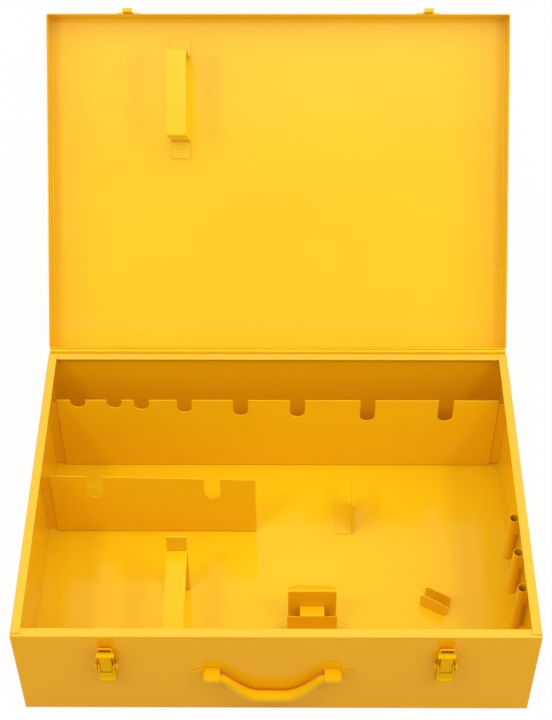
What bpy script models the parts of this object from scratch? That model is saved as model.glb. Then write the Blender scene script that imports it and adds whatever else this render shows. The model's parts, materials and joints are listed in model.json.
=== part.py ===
"""A folded sheet steel storage case, open, with dividers, holders, draw latches and a swing handle.

Metres, +Z up. The origin is the middle of the underside, +X runs to the right and -Y faces the user.
Every sheet is drawn as its outer skin: flat faces that share fold edges. A Bevel modifier rounds the
folds and a Solidify modifier gives the sheet its thickness. Moving pieces hang on empties that lie on
their joint axes.
"""

from math import atan2
from math import cos
from math import pi
from math import radians
from math import sin
from math import sqrt

import bmesh
import bpy
from mathutils import Vector

MM = 0.001

# Case body
CASE_WIDTH = 600 * MM
CASE_DEPTH = 434 * MM
BODY_HEIGHT = 158 * MM
SHEET = 1.2 * MM
BEND = 2.4 * MM
LIP_WIDTH = 11 * MM
SIDE_FLANGE = 11 * MM
LIP_SETBACK = 3.5 * MM

# Fits
SEAT = 0.3 * MM
PIN_PLAY = 0.1 * MM
LOOSE = 0.5 * MM

# Lid
LID_DEPTH = 38 * MM
LID_GAP = 0.6 * MM
LID_OPEN = radians(133.44)

# Continuous hinge along the back
HINGE_END_GAP = 1 * MM
HINGE_LEAF = 1.0 * MM
HINGE_LEAF_HEIGHT = 24 * MM
HINGE_PIN_RADIUS = 1.3 * MM
KNUCKLES = 21
KNUCKLE_SWEEP = radians(290)

# Rear divider: middles of its notches from the case's middle, and their depths
REAR_DIVIDER_Y = 153.5 * MM
REAR_DIVIDER_HEIGHT = 135 * MM
REAR_NOTCH_WIDTH = 19.4 * MM
REAR_NOTCHES = {
    -259 * MM: 13.7 * MM,
    -212 * MM: 15.0 * MM,
    -176.5 * MM: 18.0 * MM,
    -121 * MM: 23.5 * MM,
    -48 * MM: 29.5 * MM,
    26 * MM: 32.0 * MM,
    117.5 * MM: 40.0 * MM,
    219 * MM: 40.5 * MM,
}

# Left divider, which leans to a lower free end
LEFT_DIVIDER_Y = 42.2 * MM
LEFT_DIVIDER_END_X = -27.3 * MM
LEFT_DIVIDER_WALL_HEIGHT = 118 * MM
LEFT_DIVIDER_END_HEIGHT = 110 * MM
LEFT_NOTCH_WIDTH = 20 * MM
LEFT_NOTCHES = {
    -231 * MM: 41 * MM,
    -82 * MM: 38.5 * MM,
}

# Dividers' feet and the angles that hold their ends
DIVIDER_FOOT = 12 * MM
DIVIDER_END_GAP = 12 * MM
ANGLE_WALL_LEG = 18 * MM
ANGLE_FACE_LEG = 24 * MM
ANGLE_LIFT = 5 * MM
REAR_ANGLE_HEIGHT = 126 * MM
LEFT_ANGLE_HEIGHT = 115 * MM
ANGLE_CORNER = 4 * MM
ANGLE_BEND = 1.3 * MM

# Flat bar of the rest and the hold-down strap
BAR = 2.0 * MM
BAR_BEND = 3.5 * MM
BAR_WIDTH = 25 * MM

# Rest behind the front wall
REST_X = -122.5 * MM
REST_POST_Y = -49.8 * MM
REST_POST_TOP = 115.7 * MM
REST_POST_FOOT = 18 * MM
REST_BAR_TOP = 88 * MM
REST_BAR_TAIL = 22 * MM

# Hold-down strap in the lid
STRAP_X = -128.3 * MM
STRAP_REACH = 57 * MM
STRAP_START = 275.5 * MM
STRAP_LENGTH = 110.5 * MM
STRAP_FOOT = 23 * MM

# Square holder
HOLDER_X = 43.5 * MM
HOLDER_BACK_Y = -101.7 * MM
HOLDER_BACK_WIDTH = 59 * MM
HOLDER_BACK_TOP = 76.6 * MM
HOLDER_LIP = 9.8 * MM
HOLDER_LIP_DROP = 1.8 * MM
HOLDER_LIP_CORNER = 4.5 * MM
HOLDER_FOOT = 14 * MM
HOLDER_MOUTH = 14.8 * MM
HOLDER_FRONT_WIDTH = 61 * MM
HOLDER_WEB_TOP = 45 * MM
HOLDER_WEB_WIDTH = 30 * MM

# Floor bracket
BRACKET_X = 98.3 * MM
BRACKET_FRONT_Y = 38.6 * MM
BRACKET_LENGTH = 48.7 * MM
BRACKET_HEIGHT = 62 * MM
BRACKET_FOOT = 22 * MM

# Floor clip
CLIP_X = 198.6 * MM
CLIP_Y = -72.3 * MM
CLIP_TURN = radians(-29.5)
CLIP_LENGTH = 34.5 * MM
CLIP_WIDTH = 15.4 * MM
CLIP_HEIGHT = 24 * MM
CLIP_CORNER = 4 * MM

# Socket tubes on the right wall
TUBE_RADIUS = 6.5 * MM
TUBE_WALL = 1.3 * MM
TUBE_BOTTOM = 37 * MM
TUBE_LENGTH = 80 * MM
TUBE_STANDOFF = 0.5 * MM
TUBE_FIRST_Y = -20.5 * MM
TUBE_PITCH = 51.3 * MM
TUBE_COUNT = 3

# Draw latches
LATCH_X = 194 * MM
LATCH_PIVOT_Z = 108 * MM
LATCH_PIVOT_OUT = 8.0 * MM
LATCH_SHEET = 1.2 * MM
LATCH_BEND = 1.5 * MM
BASE_WIDTH = 24 * MM
BASE_TAIL_WIDTH = 19 * MM
BASE_TAIL = 40 * MM
BASE_TOP_BELOW_PIVOT = 2.0 * MM
BASE_FLANGE_END = 3.0 * MM
EAR_RADIUS = 5.0 * MM
RIVET_RADIUS = 2.0 * MM
RIVET_HEAD_RADIUS = 3.4 * MM
RIVET_HEAD = 1.6 * MM
LEVER_WIDTH = 18.8 * MM
LEVER_TAIL = 23 * MM
LEVER_DEPTH = 6.9 * MM
LEVER_FACE_OUT = 3.6 * MM
LEVER_CORNER = 3.0 * MM
LEVER_EYE_RADIUS = 4.4 * MM
FORK_OVER_PIVOT = 2.5 * MM
PAD_UNDER_LOOP_PIN = 3.6 * MM

# Draw loops: heights are measured along the loop from its pin
LOOP_PIN_BELOW = 8.0 * MM
LOOP_PIN_IN = 0.5 * MM
LOOP_PIN_RADIUS = 1.4 * MM
LOOP_STEM_WIDTH = 13.4 * MM
LOOP_SHOULDER_WIDTH = 20.4 * MM
LOOP_HEAD_WIDTH = 17.4 * MM
LOOP_SHOULDER = 25.8 * MM
LOOP_JOG_START = 26.5 * MM
LOOP_JOG_RISE = 4.0 * MM
LOOP_JOG = 6.0 * MM
LOOP_SLOT_START = 30.9 * MM
LOOP_SLOT_HEIGHT = 6.2 * MM
LOOP_SLOT_WIDTH = 13.8 * MM
LOOP_BAR = 3.2 * MM
LOOP_LEAN = radians(2.5)
LOOP_EYE_SWEEP = radians(280)

# Catches on the lid
CATCH_WIDTH = 12.2 * MM
CATCH_SHEET = 1.5 * MM
CATCH_ABOVE_RIM = 24 * MM
CATCH_BELOW_RIM = 13 * MM
CATCH_PLATE_WIDTH = 30 * MM
CATCH_PLATE_ABOVE_RIM = 5 * MM
CATCH_HOOK_OUT = 5.2 * MM
CATCH_HOOK_UP = 4.0 * MM

# Swing handle
HANDLE_X = -4.3 * MM
HANDLE_Z = 83 * MM
HANDLE_CLIP_SPACING = 140 * MM
HANDLE_CLIP_WIDTH = 19 * MM
HANDLE_CLIP_FLANGE = 2.4 * MM
HANDLE_CLIP_DOME = 4.0 * MM
HANDLE_PLATE_TIP = 15 * MM
HANDLE_PLATE_POINT = 2.0 * MM
HANDLE_DROP = 41 * MM
HANDLE_BEND_GAP = 2.0 * MM
HANDLE_STRAIGHT = 28 * MM
GRIP_RADIUS = 7.5 * MM
HANDLE_END_RADIUS = 4.7 * MM
HANDLE_WALL_GAP = 0.8 * MM
HANDLE_CURVE_STEPS = 12
HANDLE_ROUNDNESS = 3
HANDLE_BOW = 1.05

# Finishes: colour, roughness and metal share
COAT = ((0.87, 0.47, 0.02), 0.38, 0.0)
FITTING_COAT = ((0.84, 0.43, 0.015), 0.34, 0.0)
ZINC = ((0.62, 0.60, 0.56), 0.35, 1.0)

# Roundness, and the distance under which points count as one
FOLD_STEPS = 3
FOLD_LIMIT = radians(40)
ARC_STEP = radians(15)
PIN_SIDES = 20
TUBE_SIDES = 32
SAME_PLACE = 0.001 * MM

# Places worked out from the sizes above
HALF_WIDTH = CASE_WIDTH / 2
HALF_DEPTH = CASE_DEPTH / 2
FLOOR_TOP = SHEET + SEAT
SHELL_TOP = BODY_HEIGHT - SHEET - SEAT
WALL_INSIDE = HALF_WIDTH - SHEET - SEAT
FRONT_INSIDE = HALF_DEPTH - SHEET - SEAT
RIM_PLANE = BODY_HEIGHT + LID_GAP
KNUCKLE_INSIDE = HINGE_PIN_RADIUS + PIN_PLAY
KNUCKLE_RADIUS = KNUCKLE_INSIDE + HINGE_LEAF
HINGE_LENGTH = CASE_WIDTH - 2 * HINGE_END_GAP
KNUCKLE_NOTCH = sqrt((KNUCKLE_RADIUS + PIN_PLAY) ** 2 - KNUCKLE_INSIDE ** 2)
HINGE_AXIS_Y = HALF_DEPTH + SEAT + KNUCKLE_RADIUS
HINGE_AXIS_Z = BODY_HEIGHT + LID_GAP / 2
HANDLE_AXIS_OUT = GRIP_RADIUS + HANDLE_WALL_GAP


def clear_scene():
    """Remove whatever the file holds."""
    for thing in list(bpy.data.objects):
        bpy.data.objects.remove(thing, do_unlink=True)


def paint(name, colour, roughness, metallic):
    """A plain finish with the photographed colour."""
    finish = bpy.data.materials.new(name)
    finish.use_nodes = True
    shader = finish.node_tree.nodes["Principled BSDF"]
    shader.inputs["Base Color"].default_value = (*colour, 1)
    shader.inputs["Roughness"].default_value = roughness
    shader.inputs["Metallic"].default_value = metallic
    return finish


def arc(centre, radius, start, sweep):
    """Points of a plane arc, as pairs, in steps that suit the folds."""
    count = max(2, round(abs(sweep) / ARC_STEP))
    turns = [start + sweep * step / count for step in range(count + 1)]
    return [(centre[0] + radius * cos(turn), centre[1] + radius * sin(turn)) for turn in turns]


def add_object(name, mesh, finish, parent=None):
    """Link a mesh as a named piece, with its finish, under its joint's empty if it has one."""
    mesh.materials.append(finish)
    piece = bpy.data.objects.new(name, mesh)
    bpy.context.collection.objects.link(piece)
    piece.parent = parent
    return piece


def joint_empty(name, place, turn=0.0, parent=None):
    """An empty on a joint axis along X, turned about that axis."""
    empty = bpy.data.objects.new(name, None)
    empty.location = place
    empty.rotation_euler = (turn, 0, 0)
    empty.parent = parent
    bpy.context.collection.objects.link(empty)
    return empty


def skin_mesh(name, faces, outward):
    """Join polygons along their shared edges, with normals on the side that outward points to."""
    shape = bmesh.new()
    corners = {}
    for face in faces:
        ring = []
        for point in face:
            key = tuple(round(value / SAME_PLACE) for value in point)
            if key not in corners:
                corners[key] = shape.verts.new(point)
            ring.append(corners[key])
        shape.faces.new(ring)
    bmesh.ops.recalc_face_normals(shape, faces=shape.faces)
    shape.faces.ensure_lookup_table()
    shape.normal_update()
    if shape.faces[0].normal.dot(Vector(outward)) < 0:
        bmesh.ops.reverse_faces(shape, faces=shape.faces)
    mesh = bpy.data.meshes.new(name)
    shape.to_mesh(mesh)
    shape.free()
    return mesh


def sheet(name, faces, outward, finish, thickness=SHEET, bend=BEND, parent=None):
    """A folded sheet, from polygons of its outer skin; outward is the first polygon's outer side."""
    piece = add_object(name, skin_mesh(name, faces, outward), finish, parent)
    if bend:
        folds = piece.modifiers.new("rounded folds", "BEVEL")
        folds.width = bend
        folds.segments = FOLD_STEPS
        folds.limit_method = "ANGLE"
        folds.angle_limit = FOLD_LIMIT
    solid = piece.modifiers.new("sheet thickness", "SOLIDIFY")
    solid.thickness = thickness
    solid.offset = -1
    solid.use_even_offset = True
    solid.use_quality_normals = True
    return piece


def ribbon(rows, columns, place, keep=None):
    """Faces of a strip: a profile of rows drawn across columns, leaving out cells that keep refuses."""
    faces = []
    for row in range(len(rows) - 1):
        for column in range(len(columns) - 1):
            if keep and not keep(row, column):
                continue
            low, high = columns[column], columns[column + 1]
            start, end = rows[row], rows[row + 1]
            faces.append([place(low, start), place(high, start), place(high, end), place(low, end)])
    return faces


def across_x(x, pair):
    """A profile drawn in the YZ plane, at one place along X."""
    return (x, pair[0], pair[1])


def turned(name, profile, sides, finish, parent=None):
    """A solid of revolution about its own X axis, from pairs of place along X and radius."""
    shape = bmesh.new()
    points = [shape.verts.new((along, radius, 0)) for along, radius in profile]
    edges = [shape.edges.new(pair) for pair in zip(points, points[1:])]
    bmesh.ops.spin(shape, geom=points + edges, axis=(1, 0, 0), cent=(0, 0, 0), angle=2 * pi,
                   steps=sides, use_merge=True)
    bmesh.ops.remove_doubles(shape, verts=shape.verts, dist=SAME_PLACE)
    bmesh.ops.recalc_face_normals(shape, faces=shape.faces)
    mesh = bpy.data.meshes.new(name)
    shape.to_mesh(mesh)
    shape.free()
    return add_object(name, mesh, finish, parent)


def round_bar(name, length, radius, finish, parent=None):
    """A plain round bar along X, about its own middle."""
    end = length / 2
    return turned(name, [(-end, 0), (-end, radius), (end, radius), (end, 0)], PIN_SIDES, finish, parent)


def drill(piece, place, radius, length, parent=None):
    """Cut a round hole along X through a piece."""
    cutter = round_bar(piece.name + " drill", length, radius, piece.data.materials[0], parent)
    cutter.location = place
    cutter.hide_render = True
    cutter.display_type = "WIRE"
    hole = piece.modifiers.new("drilled hole", "BOOLEAN")
    hole.operation = "DIFFERENCE"
    hole.object = cutter


def case_shell(finish):
    """Front wall, floor and back wall folded from one sheet, with a lip along each wall."""
    lip_end = WALL_INSIDE
    relief = SHELL_TOP - (HALF_WIDTH - lip_end)
    faces = [[(-HALF_WIDTH, -HALF_DEPTH, 0), (HALF_WIDTH, -HALF_DEPTH, 0),
              (HALF_WIDTH, HALF_DEPTH, 0), (-HALF_WIDTH, HALF_DEPTH, 0)]]
    for side in (-1, 1):
        wall = side * HALF_DEPTH
        lip = side * (HALF_DEPTH - LIP_WIDTH)
        faces.append([(-HALF_WIDTH, wall, 0), (HALF_WIDTH, wall, 0), (HALF_WIDTH, wall, relief),
                      (lip_end, wall, SHELL_TOP), (-lip_end, wall, SHELL_TOP), (-HALF_WIDTH, wall, relief)])
        faces.append([(-lip_end, wall, SHELL_TOP), (lip_end, wall, SHELL_TOP),
                      (lip_end, lip, SHELL_TOP), (-lip_end, lip, SHELL_TOP)])
    sheet("case_shell", faces, (0, 0, -1), finish)


def side_wall(name, side, finish):
    """A side wall with a lip that lies over the shell's lips and flanges inside the shell's walls."""
    skin = side * HALF_WIDTH
    lip = side * (HALF_WIDTH - LIP_WIDTH)
    flange = side * (HALF_WIDTH - SIDE_FLANGE)
    flange_low = FLOOR_TOP + BEND
    flange_high = SHELL_TOP - SHEET - SEAT
    foot = FRONT_INSIDE - BEND
    lip_end = HALF_DEPTH - LIP_SETBACK
    half = [(foot, FLOOR_TOP), (FRONT_INSIDE, flange_low), (FRONT_INSIDE, flange_high)]
    half.append((lip_end, BODY_HEIGHT))
    outline = half + [(-y, z) for y, z in reversed(half)]
    faces = [[(skin, y, z) for y, z in outline]]
    faces.append([(skin, -lip_end, BODY_HEIGHT), (skin, lip_end, BODY_HEIGHT),
                  (lip, lip_end, BODY_HEIGHT), (lip, -lip_end, BODY_HEIGHT)])
    for end in (-FRONT_INSIDE, FRONT_INSIDE):
        faces.append([(skin, end, flange_low), (skin, end, flange_high),
                      (flange, end, flange_high), (flange, end, flange_low)])
    sheet(name, faces, (side, 0, 0), finish)


def notched_edge(heights, notches, width):
    """Points of a divider's top edge from left to right, with a round-bottomed notch at each place."""
    (left, left_top), (right, right_top) = heights
    slope = (right_top - left_top) / (right - left)
    points = [(left, left_top)]
    radius = width / 2
    for middle, depth in sorted(notches.items()):
        bottom = left_top + slope * (middle - left) - depth
        points.append((middle - radius, left_top + slope * (middle - radius - left)))
        points.extend(arc((middle, bottom + radius), radius, pi, pi))
        points.append((middle + radius, left_top + slope * (middle + radius - left)))
    points.append((right, right_top))
    return points


def divider(name, y, top, finish):
    """An upright divider with a notched top and a foot folded back along the floor."""
    left = top[0][0]
    right = top[-1][0]
    panel = [(left, y, FLOOR_TOP), (right, y, FLOOR_TOP)] + [(x, y, z) for x, z in reversed(top)]
    foot = [(left, y, FLOOR_TOP), (right, y, FLOOR_TOP),
            (right, y + DIVIDER_FOOT, FLOOR_TOP), (left, y + DIVIDER_FOOT, FLOOR_TOP)]
    sheet(name, [panel, foot], (0, -1, 0), finish)


def end_angle(name, side, divider_y, height, finish):
    """An angle that joins a divider's end to a side wall, behind the divider."""
    wall = side * WALL_INSIDE
    face_y = divider_y + SHEET + SEAT
    face_end = side * (WALL_INSIDE - ANGLE_FACE_LEG)
    wall_end = face_y + ANGLE_WALL_LEG
    low = FLOOR_TOP + ANGLE_LIFT
    corner = side * (WALL_INSIDE - ANGLE_CORNER)
    drop = height - ANGLE_CORNER
    face = [(wall, face_y, low), (face_end, face_y, low), (face_end, face_y, height),
            (corner, face_y, height), (wall, face_y, drop)]
    leg = [(wall, face_y, low), (wall, wall_end, low), (wall, wall_end, drop), (wall, face_y, drop)]
    sheet(name, [face, leg], (0, -1, 0), finish, SHEET, ANGLE_BEND)


def dividers(finish):
    """Both dividers and the angles at their ends."""
    end = HALF_WIDTH - SHEET - DIVIDER_END_GAP
    rear_top = notched_edge(((-end, REAR_DIVIDER_HEIGHT), (end, REAR_DIVIDER_HEIGHT)),
                            REAR_NOTCHES, REAR_NOTCH_WIDTH)
    divider("rear_divider", REAR_DIVIDER_Y, rear_top, finish)
    end_angle("rear_divider_angle_left", -1, REAR_DIVIDER_Y, REAR_ANGLE_HEIGHT, finish)
    end_angle("rear_divider_angle_right", 1, REAR_DIVIDER_Y, REAR_ANGLE_HEIGHT, finish)
    left_top = notched_edge(((-end, LEFT_DIVIDER_WALL_HEIGHT), (LEFT_DIVIDER_END_X, LEFT_DIVIDER_END_HEIGHT)),
                            LEFT_NOTCHES, LEFT_NOTCH_WIDTH)
    divider("left_divider", LEFT_DIVIDER_Y, left_top, finish)
    end_angle("left_divider_angle", -1, LEFT_DIVIDER_Y, LEFT_ANGLE_HEIGHT, finish)


def front_rest(finish):
    """A flat bar from a post on the floor to the front wall, for a long tool to lie on."""
    sides = (REST_X - BAR_WIDTH / 2, REST_X + BAR_WIDTH / 2)
    post = [(REST_POST_Y, REST_POST_TOP), (REST_POST_Y, FLOOR_TOP), (REST_POST_Y + REST_POST_FOOT, FLOOR_TOP)]
    sheet("rest_post", ribbon(post, sides, across_x), (0, -1, 0), finish, BAR, BAR_BEND)
    wall = -FRONT_INSIDE
    tail = REST_BAR_TOP - REST_BAR_TAIL
    bar = [(REST_POST_Y - SEAT, REST_BAR_TOP), (wall, REST_BAR_TOP), (wall, tail)]
    sheet("rest_bar", ribbon(bar, sides, across_x), (0, 0, 1), finish, BAR, BAR_BEND)


def square_holder(finish):
    """Two upright plates on the floor, joined by a narrow web, that hold a tool between them."""
    half_back = HOLDER_BACK_WIDTH / 2
    half_front = HOLDER_FRONT_WIDTH / 2
    half_web = HOLDER_WEB_WIDTH / 2
    back = HOLDER_BACK_Y
    lip = back + HOLDER_LIP
    cut = lip - HOLDER_LIP_CORNER
    low = HOLDER_BACK_TOP - HOLDER_LIP_DROP
    cut_low = low + HOLDER_LIP_DROP * HOLDER_LIP_CORNER / HOLDER_LIP
    plate = [(HOLDER_X - half_back, back, FLOOR_TOP), (HOLDER_X + half_back, back, FLOOR_TOP),
             (HOLDER_X + half_back, back, HOLDER_BACK_TOP), (HOLDER_X - half_back, back, HOLDER_BACK_TOP)]
    top = [(HOLDER_X - half_back, back, HOLDER_BACK_TOP), (HOLDER_X + half_back, back, HOLDER_BACK_TOP),
           (HOLDER_X + half_back, cut, cut_low),
           (HOLDER_X + half_back - HOLDER_LIP_CORNER, lip, low),
           (HOLDER_X - half_back + HOLDER_LIP_CORNER, lip, low),
           (HOLDER_X - half_back, cut, cut_low)]
    foot = [(HOLDER_X - half_back, back, FLOOR_TOP), (HOLDER_X + half_back, back, FLOOR_TOP),
            (HOLDER_X + half_back, back + HOLDER_FOOT, FLOOR_TOP),
            (HOLDER_X - half_back, back + HOLDER_FOOT, FLOOR_TOP)]
    sheet("holder_back_plate", [plate, top, foot], (0, -1, 0), finish)
    front = back - HOLDER_MOUTH
    web_end = back - SEAT
    face = [(HOLDER_X - half_front, front, FLOOR_TOP), (HOLDER_X + half_front, front, FLOOR_TOP),
            (HOLDER_X + half_front, front, HOLDER_WEB_TOP), (HOLDER_X + half_web, front, HOLDER_WEB_TOP),
            (HOLDER_X - half_web, front, HOLDER_WEB_TOP), (HOLDER_X - half_front, front, HOLDER_WEB_TOP)]
    web = [(HOLDER_X - half_web, front, HOLDER_WEB_TOP), (HOLDER_X + half_web, front, HOLDER_WEB_TOP),
           (HOLDER_X + half_web, web_end, HOLDER_WEB_TOP), (HOLDER_X - half_web, web_end, HOLDER_WEB_TOP)]
    sheet("holder_front_plate", [face, web], (0, -1, 0), finish)


def floor_bracket(finish):
    """An upright plate in the middle of the floor, on a foot to its left."""
    ends = (BRACKET_FRONT_Y, BRACKET_FRONT_Y + BRACKET_LENGTH)
    profile = [(BRACKET_X, BRACKET_HEIGHT), (BRACKET_X, FLOOR_TOP), (BRACKET_X - BRACKET_FOOT, FLOOR_TOP)]
    faces = ribbon(profile, ends, lambda y, pair: (pair[0], y, pair[1]))
    sheet("floor_bracket", faces, (1, 0, 0), finish)


def floor_clip(finish):
    """A small channel on the floor, set at an angle, with cut corners on both walls."""
    half = CLIP_WIDTH / 2
    end = CLIP_LENGTH / 2
    shoulder = CLIP_HEIGHT - CLIP_CORNER
    faces = [[(-end, -half, FLOOR_TOP), (end, -half, FLOOR_TOP),
              (end, half, FLOOR_TOP), (-end, half, FLOOR_TOP)]]
    for wall in (-half, half):
        faces.append([(-end, wall, FLOOR_TOP), (end, wall, FLOOR_TOP), (end, wall, shoulder),
                      (end - CLIP_CORNER, wall, CLIP_HEIGHT), (CLIP_CORNER - end, wall, CLIP_HEIGHT),
                      (-end, wall, shoulder)])
    clip = sheet("floor_clip", faces, (0, 0, -1), finish)
    clip.location = (CLIP_X, CLIP_Y, 0)
    clip.rotation_euler = (0, 0, CLIP_TURN)


def socket_tubes(finish):
    """Open tubes welded upright to the right wall, which hold loose rods."""
    for index in range(TUBE_COUNT):
        name = f"socket_tube_{index + 1}"
        shape = bmesh.new()
        bmesh.ops.create_circle(shape, segments=TUBE_SIDES, radius=TUBE_RADIUS)
        grown = bmesh.ops.extrude_edge_only(shape, edges=shape.edges[:])
        top = [vert for vert in grown["geom"] if isinstance(vert, bmesh.types.BMVert)]
        bmesh.ops.translate(shape, verts=top, vec=(0, 0, TUBE_LENGTH))
        bmesh.ops.recalc_face_normals(shape, faces=shape.faces)
        mesh = bpy.data.meshes.new(name)
        shape.to_mesh(mesh)
        shape.free()
        tube = add_object(name, mesh, finish)
        x = WALL_INSIDE - TUBE_STANDOFF - TUBE_RADIUS
        tube.location = (x, TUBE_FIRST_Y - index * TUBE_PITCH, TUBE_BOTTOM)
        bore = tube.modifiers.new("tube wall", "SOLIDIFY")
        bore.thickness = TUBE_WALL
        bore.offset = -1
        bore.use_even_offset = True


def knuckle_profile(up):
    """A hinge leaf's outer skin from its free end to its rolled knuckle, about the hinge axis."""
    skin = -KNUCKLE_RADIUS
    rolled = arc((0, 0), KNUCKLE_RADIUS, pi, up * KNUCKLE_SWEEP)
    return [(skin, up * HINGE_LEAF_HEIGHT), (skin, up * KNUCKLE_NOTCH)] + rolled


def hinge_leaf(name, up, first, finish, parent=None):
    """One leaf: a plate along the whole hinge, with a rolled knuckle on every second stretch."""
    half = HINGE_LENGTH / 2
    stations = [-half]
    for stretch in range(1, KNUCKLES):
        parting = HINGE_LENGTH * stretch / KNUCKLES - half
        stations.extend((parting - SEAT / 2, parting + SEAT / 2))
    stations.append(half)
    own = range(2 * first, len(stations), 4)
    profile = knuckle_profile(up)
    faces = ribbon(profile, stations, across_x, lambda row, column: row == 0 or column in own)
    return sheet(name, faces, (0, -1, 0), finish, HINGE_LEAF, 0, parent)


def continuous_hinge(lid, finish, steel):
    """A hinge along the whole back: a leaf on the body, a leaf on the lid and a pin through both."""
    body_leaf = hinge_leaf("hinge_body_leaf", -1, 0, finish)
    body_leaf.location = (0, HINGE_AXIS_Y, HINGE_AXIS_Z)
    hinge_leaf("hinge_lid_leaf", 1, 1, finish, lid)
    pin = round_bar("hinge_pin", HINGE_LENGTH, HINGE_PIN_RADIUS, steel)
    pin.location = body_leaf.location


def on_lid(point):
    """A point of the closed lid, as seen from the hinge axis."""
    return (point[0], point[1] - HINGE_AXIS_Y, point[2] - HINGE_AXIS_Z)


def lid_tray(lid, finish):
    """The lid: a shallow tray with welded and ground corners."""
    top = RIM_PLANE + LID_DEPTH
    front = [(-HALF_WIDTH, -HALF_DEPTH), (HALF_WIDTH, -HALF_DEPTH)]
    ring = front + [(x, HALF_DEPTH) for x, y in reversed(front)]
    high = [on_lid((x, y, top)) for x, y in ring]
    low = [on_lid((x, y, RIM_PLANE)) for x, y in ring]
    faces = [high]
    for corner in range(len(ring)):
        faces.append([high[corner - 1], high[corner], low[corner], low[corner - 1]])
    sheet("lid_tray", faces, (0, 0, 1), finish, parent=lid)


def lid_strap(lid, finish):
    """A bridge of flat bar inside the lid, which holds a tool down on the rest."""
    sides = (STRAP_X - BAR_WIDTH / 2, STRAP_X + BAR_WIDTH / 2)
    panel = RIM_PLANE + LID_DEPTH - SHEET - SEAT
    face = BODY_HEIGHT - STRAP_REACH
    rear = HINGE_AXIS_Y - STRAP_START
    front = rear - STRAP_LENGTH
    profile = [(rear + STRAP_FOOT, panel - BAR), (rear, panel - BAR), (rear, face), (front, face),
               (front, panel - BAR), (front - STRAP_FOOT, panel - BAR)]
    faces = ribbon(profile, sides, lambda x, pair: on_lid((x, *pair)))
    sheet("lid_strap", faces, (0, 0, -1), finish, BAR, BAR_BEND, lid)


def lid_catches(lid, finish):
    """A plate on the lid's front for each latch, with a narrow hook for the latch to pull on."""
    for side, word in ((-1, "left"), (1, "right")):
        edges = (-CATCH_PLATE_WIDTH / 2, -CATCH_WIDTH / 2, CATCH_WIDTH / 2, CATCH_PLATE_WIDTH / 2)
        stations = [side * LATCH_X + edge for edge in edges]
        plate = -HALF_DEPTH - SEAT
        hook = plate - CATCH_HOOK_OUT
        low = BODY_HEIGHT - CATCH_BELOW_RIM
        high = BODY_HEIGHT + CATCH_ABOVE_RIM
        neck = BODY_HEIGHT + CATCH_PLATE_ABOVE_RIM
        profile = [(plate, high), (plate, neck), (plate, low), (hook, low), (hook, low + CATCH_HOOK_UP)]
        faces = ribbon(profile, stations, lambda x, pair: on_lid((x, *pair)),
                       lambda row, column: row == 0 or column == 1)
        sheet(f"lid_catch_{word}", faces, (0, 1, 0), finish, CATCH_SHEET, LATCH_BEND, lid)


def latch_base(name, x, finish):
    """The latch's channel on the front wall: its flanges taper from the lever's ears to its tail."""
    skin = -HALF_DEPTH - SEAT
    pivot = -HALF_DEPTH - LATCH_PIVOT_OUT
    half = BASE_WIDTH / 2
    tail = BASE_TAIL_WIDTH / 2
    low = LATCH_PIVOT_Z - EAR_RADIUS
    high = LATCH_PIVOT_Z - BASE_TOP_BELOW_PIVOT
    bottom = LATCH_PIVOT_Z - BASE_TAIL
    tip = arc((pivot, LATCH_PIVOT_Z), EAR_RADIUS, -pi / 2, -pi)
    left = [(x - half, high), (x - half, low), (x - tail, bottom)]
    right = [(x + half, high), (x + half, low), (x + tail, bottom)]
    faces = [[(across, skin, z) for across, z in left + right[::-1]]]
    for (ear, top), (ear, root), (end, foot) in (left, right):
        faces.append([(ear, skin, root), *[(ear, y, z) for y, z in tip], (ear, skin, top)])
        faces.append([(ear, skin, root), (end, skin, foot), (end, skin - BASE_FLANGE_END, foot),
                      (ear, pivot, root)])
    base = sheet(name, faces, (0, 1, 0), finish, LATCH_SHEET, LATCH_BEND)
    drill(base, (x, pivot, LATCH_PIVOT_Z), RIVET_RADIUS + PIN_PLAY, BASE_WIDTH * 2)


def latch_lever(name, lever, finish):
    """The lever: a forked channel that swings on the base's ears and carries the loop's pin."""
    half = LEVER_WIDTH / 2
    fork = LOOP_STEM_WIDTH / 2 + LOOSE
    face = -LEVER_FACE_OUT
    inner = LEVER_DEPTH - LEVER_FACE_OUT
    pad = -LOOP_PIN_BELOW - PAD_UNDER_LOOP_PIN
    corner = LEVER_TAIL - LEVER_CORNER
    right_foot = arc((half - LEVER_CORNER, -corner), LEVER_CORNER, 0, -pi / 2)
    foot = right_foot + [(-x, z) for x, z in reversed(right_foot)]
    outline = [(-fork, FORK_OVER_PIVOT), (-fork, pad), (fork, pad), (fork, FORK_OVER_PIVOT),
               (half, FORK_OVER_PIVOT), *foot, (-half, FORK_OVER_PIVOT)]
    faces = [[(x, face, z) for x, z in outline]]
    start = atan2(FORK_OVER_PIVOT, -LEVER_FACE_OUT)
    crown = arc((0, 0), LEVER_EYE_RADIUS, start, -start)
    tail = [(inner, -LEVER_EYE_RADIUS), (face + LEVER_DEPTH / 2, -corner)]
    side = [(face, -corner), (face, FORK_OVER_PIVOT), *crown[1:], *tail]
    for x in (-half, half):
        faces.append([(x, y, z) for y, z in side])
    piece = sheet(name, faces, (0, -1, 0), finish, LATCH_SHEET, LATCH_BEND, lever)
    drill(piece, (0, 0, 0), RIVET_RADIUS + PIN_PLAY, LEVER_WIDTH * 2, lever)
    return piece


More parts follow.
